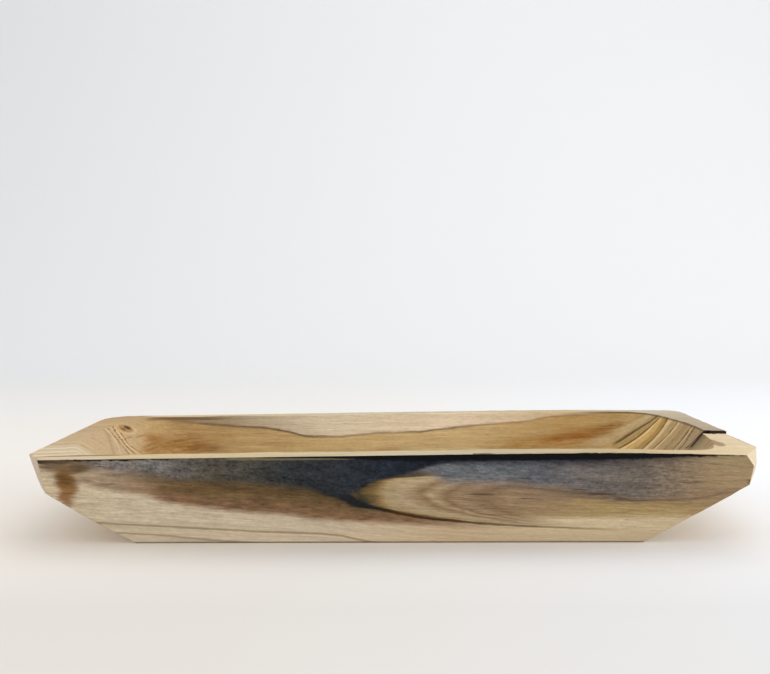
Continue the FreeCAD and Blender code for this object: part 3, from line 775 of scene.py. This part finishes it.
# The split: where it begins along the bowl and above the base, how far its walls lie from its middle,
# the half width of the crack itself, and the step between the two halves of the lip
SPLIT_START, SPLIT_FOOT, SPLIT_REACH = 226, 48, 8
CRACK_REACH = 0.6
STEP_START, STEP_END, STEP_REACH = 240, 250, 1.4

# Where the other kinds of surface begin: the chipped and the cut corner, as (x, y), the right-hand
# lip, the rim, the long sides and the hollow
CHIPPED_CORNER = (236, -80)
CUT_CORNER = (-236, -85)
RIGHT_LIP_START, RIGHT_LIP_FOOT, RIGHT_LIP_MARGIN = 190, 62, 3
RIM_FOOT = 60
SIDE_START = 80
HOLLOW_FOOT = 5

# Where the skin stays as cut, and where the growth lines stand out: beyond this x, up to this z
STILL_FOOT = 2
STILL_SPLIT_START, STILL_SPLIT_REACH = 222, 12
RIGHT_RIDGES_START, RIGHT_RIDGES_TOP = 192, 68
LEFT_RIDGES_START, LEFT_RIDGES_TOP = -205, 64


def netted_copy(node):
    """A merged copy of the solid, cut by a regular net of planes so that its skin can be worked."""
    work = bmesh.new()
    work.from_mesh(node.data)
    bmesh.ops.remove_doubles(work, verts=work.verts, dist=0.005 * MM)
    bmesh.ops.dissolve_limit(work, angle_limit=math.radians(0.25), verts=work.verts, edges=work.edges)
    for axis in range(3):
        normal = Vector((0, 0, 0))
        normal[axis] = 1
        count = int((HIGH[axis] - LOW[axis]) / NET)
        for step in range(1, count + 1):
            place = normal * (LOW[axis] + step * (HIGH[axis] - LOW[axis]) / (count + 1)) * MM
            bmesh.ops.bisect_plane(
                work, geom=work.verts[:] + work.edges[:] + work.faces[:], dist=1e-6,
                plane_co=place, plane_no=normal)
    bmesh.ops.triangulate(work, faces=[face for face in work.faces if len(face.verts) > 4])
    return work


def in_mouth(x, y, margin=0):
    """Whether a place lies within the outline of the hollow's mouth, or this near to it."""
    bow = y * y / (2 * MOUTH_BOW) - margin
    return abs(y) < MOUTH_HALF_WIDTH + margin and MOUTH_LEFT + bow < x < MOUTH_RIGHT - bow


def zone_of(face):
    """The kind of surface that a face of the bowl belongs to."""
    normal = face.normal
    x, y, z = face.calc_center_median() / MM
    off_split = abs(y - SPLIT_Y)
    # The walls of the crack and of the step, and lip faces just beside the step, take the split finish,
    # which is painted shade.
    if x > SPLIT_START and z > SPLIT_FOOT and off_split < SPLIT_REACH:
        upright = abs(normal.z) < 0.6
        in_crack = off_split < CRACK_REACH or (STEP_START < x < STEP_END and off_split < STEP_REACH)
        crack_wall = upright and abs(normal.y) > 0.45
        step_wall = upright and normal.x > 0.6 and x < STEP_END
        if in_crack or crack_wall or step_wall:
            return "split"
    if x > CHIPPED_CORNER[0] and y < CHIPPED_CORNER[1] and normal.x > 0.3 and normal.y < -0.2:
        return "fresh"
    if x < CUT_CORNER[0] and y < CUT_CORNER[1] and normal.x < -0.3 and normal.y < -0.2:
        return "fresh"
    margin = RIGHT_LIP_MARGIN if x > RIGHT_LIP_START else 0
    on_right_lip = x > RIGHT_LIP_START and z > RIGHT_LIP_FOOT and normal.z > 0.96
    if in_mouth(x, y, margin) and normal.z > -0.05 and z > HOLLOW_FOOT and not on_right_lip:
        return "hollow"
    if normal.z > 0.35 and z > RIM_FOOT:
        return "rim"
    if normal.y < -0.7 and y < -SIDE_START:
        return "near_side"
    if normal.y > 0.7 and y > SIDE_START:
        return "far_side"
    return "under"


def height_on(points, place):
    """The height of a line through a few points, at one place along it."""
    for (start, low), (end, high) in zip(points, points[1:]):
        if place <= end:
            return low + (high - low) * max(0.0, (place - start) / (end - start))
    return points[-1][1]


def ridge_height(lines, y, z):
    """How far the growth lines of an end wall stand out here."""
    height = 0.0
    for points, half_width, _, _, relief in lines:
        reach = half_width + 1.2
        offset = abs(y - height_on(points, z)) / reach
        if offset < 1:
            height += relief * (1 - offset * offset) ** 2
    return height


def skin_move(place, normal):
    """How far a point of the skin moves out, in millimetres, as tools and years have left it."""
    x, y, z = place
    if z < STILL_FOOT or (x > STILL_SPLIT_START and abs(y - SPLIT_Y) < STILL_SPLIT_REACH):
        return 0.0
    if in_mouth(x, y) and normal.z > 0.1 and z > HOLLOW_FOOT:
        scoops = noise.noise(Vector((x / 26, y / 15, z / 15)))
        small = noise.noise(Vector((x / 9, y / 5, z / 5)) + Vector((7, 7, 7)))
        move = TOOL_DEPTH * (scoops + 0.35 * small)
        if x > RIGHT_RIDGES_START and z < RIGHT_RIDGES_TOP:
            move += ridge_height(RIGHT_LINES, y, z)
        if x < LEFT_RIDGES_START and z < LEFT_RIDGES_TOP:
            move += ridge_height(LEFT_LINES, y, z)
        return move
    waves = noise.noise(Vector((x / 45, y / 12, z / 12)) + Vector((3, 3, 3)))
    nicks = noise.noise(Vector((x / 7, y / 6, z / 5)) + Vector((11, 11, 11)))
    return -SKIN_DEPTH * (0.8 + 0.6 * waves + 0.6 * nicks)


def make_bowl():
    work = netted_copy(BOWL)
    for face in work.faces:
        face.material_index = ZONES.index(zone_of(face))
        face.smooth = True
    work.normal_update()
    moves = [vert.normal * skin_move(vert.co / MM, vert.normal) * MM for vert in work.verts]
    for vert, move in zip(work.verts, moves):
        vert.co += move
        vert.co.z = min(vert.co.z, HIGH.z * MM)
    mesh = bpy.data.meshes.new("carved_bowl")
    work.to_mesh(mesh)
    work.free()
    for finish in FINISHES.values():
        mesh.materials.append(finish())
    mesh.set_sharp_from_angle(angle=math.radians(35))
    bowl = bpy.data.objects.new("carved_bowl", mesh)
    bpy.context.scene.collection.objects.link(bowl)
    return bowl


# The plain sweep that the bowl stands on, the light and the camera

SWEEP_NEAR, SWEEP_FAR, SWEEP_TOP, SWEEP_SIDE = -2.6, 1.1, 3.2, 4.0
SWEEP_BEND = 0.9
# The floor is warm on the left and brighter and cooler on the right, partly painted light that lightens the
# shadow under the right end
FLOOR_LEFT_TONE = (0.82, 0.775, 0.715, 1)
FLOOR_RIGHT_TONE = (0.83, 0.84, 0.87, 1)
WALL_TONE = (0.77, 0.77, 0.77, 1)

# Where the paper's tone turns, and the brightness at both ends of the two last, which is painted light:
# brighter to the right and darker in front
FLOOR_TURN = (-0.1, 0.4)
WALL_TURN = (0.15, 1.3)
RIGHT_TURN = (-1.0, 1.0, 1.0, 1.10)
FRONT_TURN = (-0.24, -0.12, 0.90, 1.03)

# Each light: name, place, where it points, size, power and tint
LIGHTS = (
    ("overhead", (0.4, 0.3, 1.9), (0, 0, 0), (2.6, 1.8), 9, (1.0, 0.97, 0.92)),
    ("right_window", (1.9, -0.35, 0.6), (0.1, 0, 0), (1.4, 1.0), 13, (1.0, 0.98, 0.95)),
    ("left_fill", (-1.8, -0.3, 0.5), (-0.1, 0, 0), (1.4, 0.8), 6, (0.97, 0.98, 1.0)))
ROOM_TONE = (0.95, 0.97, 1.0, 1)
ROOM_STRENGTH = 0.84


def even_ramp(tree, value, low, high, bottom=0.0, top=1.0):
    """A value that goes evenly from bottom to top while another goes from low to high."""
    node = tree.nodes.new("ShaderNodeMapRange")
    names = ("From Min", "From Max", "To Min", "To Max")
    for name, limit in zip(names, (low, high, bottom, top)):
        node.inputs[name].default_value = limit
    tree.links.new(value, node.inputs["Value"])
    return node.outputs["Result"]


def sweep_paper():
    """Plain paper, warm on the floor and neutral on the wall, with painted light that makes it brighter to
    the right and darker in front.
    """
    material = bpy.data.materials.new("sweep_paper")
    material.use_nodes = True
    tree = material.node_tree
    nodes, links = tree.nodes, tree.links
    coordinates = nodes.new("ShaderNodeTexCoord")
    split = nodes.new("ShaderNodeSeparateXYZ")
    links.new(coordinates.outputs["Object"], split.inputs[0])
    across, back, _ = split.outputs
    floor = nodes.new("ShaderNodeMix")
    floor.data_type = "RGBA"
    links.new(even_ramp(tree, across, *FLOOR_TURN), floor.inputs[0])
    floor.inputs[6].default_value = FLOOR_LEFT_TONE
    floor.inputs[7].default_value = FLOOR_RIGHT_TONE
    tone = nodes.new("ShaderNodeMix")
    tone.data_type = "RGBA"
    links.new(even_ramp(tree, back, *WALL_TURN), tone.inputs[0])
    links.new(floor.outputs[2], tone.inputs[6])
    tone.inputs[7].default_value = WALL_TONE
    # Painted light: the paper is made brighter to the right and darker in front.
    brightness = nodes.new("ShaderNodeMath")
    brightness.operation = "MULTIPLY"
    links.new(even_ramp(tree, across, *RIGHT_TURN), brightness.inputs[0])
    links.new(even_ramp(tree, back, *FRONT_TURN), brightness.inputs[1])
    scaled = nodes.new("ShaderNodeVectorMath")
    scaled.operation = "SCALE"
    links.new(tone.outputs[2], scaled.inputs[0])
    links.new(brightness.outputs[0], scaled.inputs["Scale"])
    shader = nodes["Principled BSDF"]
    links.new(scaled.outputs[0], shader.inputs["Base Color"])
    shader.inputs["Roughness"].default_value = 0.9
    shader.inputs["Specular IOR Level"].default_value = 0.1
    return material


def add_sweep():
    work = bmesh.new()
    outline = [(SWEEP_NEAR, 0.0), (SWEEP_FAR, 0.0)]
    for step in range(1, 13):
        turn = math.radians(90) * step / 12
        outline.append((SWEEP_FAR + SWEEP_BEND * math.sin(turn), SWEEP_BEND - SWEEP_BEND * math.cos(turn)))
    outline.append((SWEEP_FAR + SWEEP_BEND, SWEEP_TOP))
    verts = [work.verts.new((-SWEEP_SIDE, y, z)) for y, z in outline]
    edges = [work.edges.new(pair) for pair in zip(verts, verts[1:])]
    strip = bmesh.ops.extrude_edge_only(work, edges=edges)
    moved = [item for item in strip["geom"] if isinstance(item, bmesh.types.BMVert)]
    bmesh.ops.translate(work, verts=moved, vec=(2 * SWEEP_SIDE, 0, 0))
    bmesh.ops.recalc_face_normals(work, faces=work.faces)
    mesh = bpy.data.meshes.new("sweep")
    work.to_mesh(mesh)
    work.free()
    mesh.shade_smooth()
    mesh.materials.append(sweep_paper())
    sweep = bpy.data.objects.new("sweep", mesh)
    bpy.context.scene.collection.objects.link(sweep)


def add_light(name, place, target, size, power, tint):
    data = bpy.data.lights.new(name, "AREA")
    data.shape = "RECTANGLE"
    data.size, data.size_y = size
    data.energy = power
    data.color = tint
    light = bpy.data.objects.new(name, data)
    bpy.context.scene.collection.objects.link(light)
    light.location = place
    light.rotation_euler = (Vector(target) - Vector(place)).to_track_quat("-Z", "Y").to_euler()


def add_lights():
    world = bpy.data.worlds.new("room")
    bpy.context.scene.world = world
    world.use_nodes = True
    background = world.node_tree.nodes["Background"]
    background.inputs["Color"].default_value = ROOM_TONE
    background.inputs["Strength"].default_value = ROOM_STRENGTH
    for light in LIGHTS:
        add_light(*light)


def add_camera():
    data = bpy.data.cameras.new("camera")
    data.sensor_width = SENSOR_MM
    data.lens = SENSOR_MM * FOCAL_PIXELS / PICTURE_WIDTH
    camera = bpy.data.objects.new("camera", data)
    bpy.context.scene.collection.objects.link(camera)
    turn = Matrix.Rotation(math.radians(90) - CAMERA_DOWN, 4, "X") @ Matrix.Rotation(CAMERA_ROLL, 4, "Z")
    camera.matrix_world = Matrix.Translation(CAMERA_PLACE) @ turn
    bpy.context.scene.camera = camera


bowl = make_bowl()
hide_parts("bowl")
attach(bowl, "root")

add_sweep()
add_lights()
add_camera()
bpy.context.scene.view_settings.view_transform = "Standard"
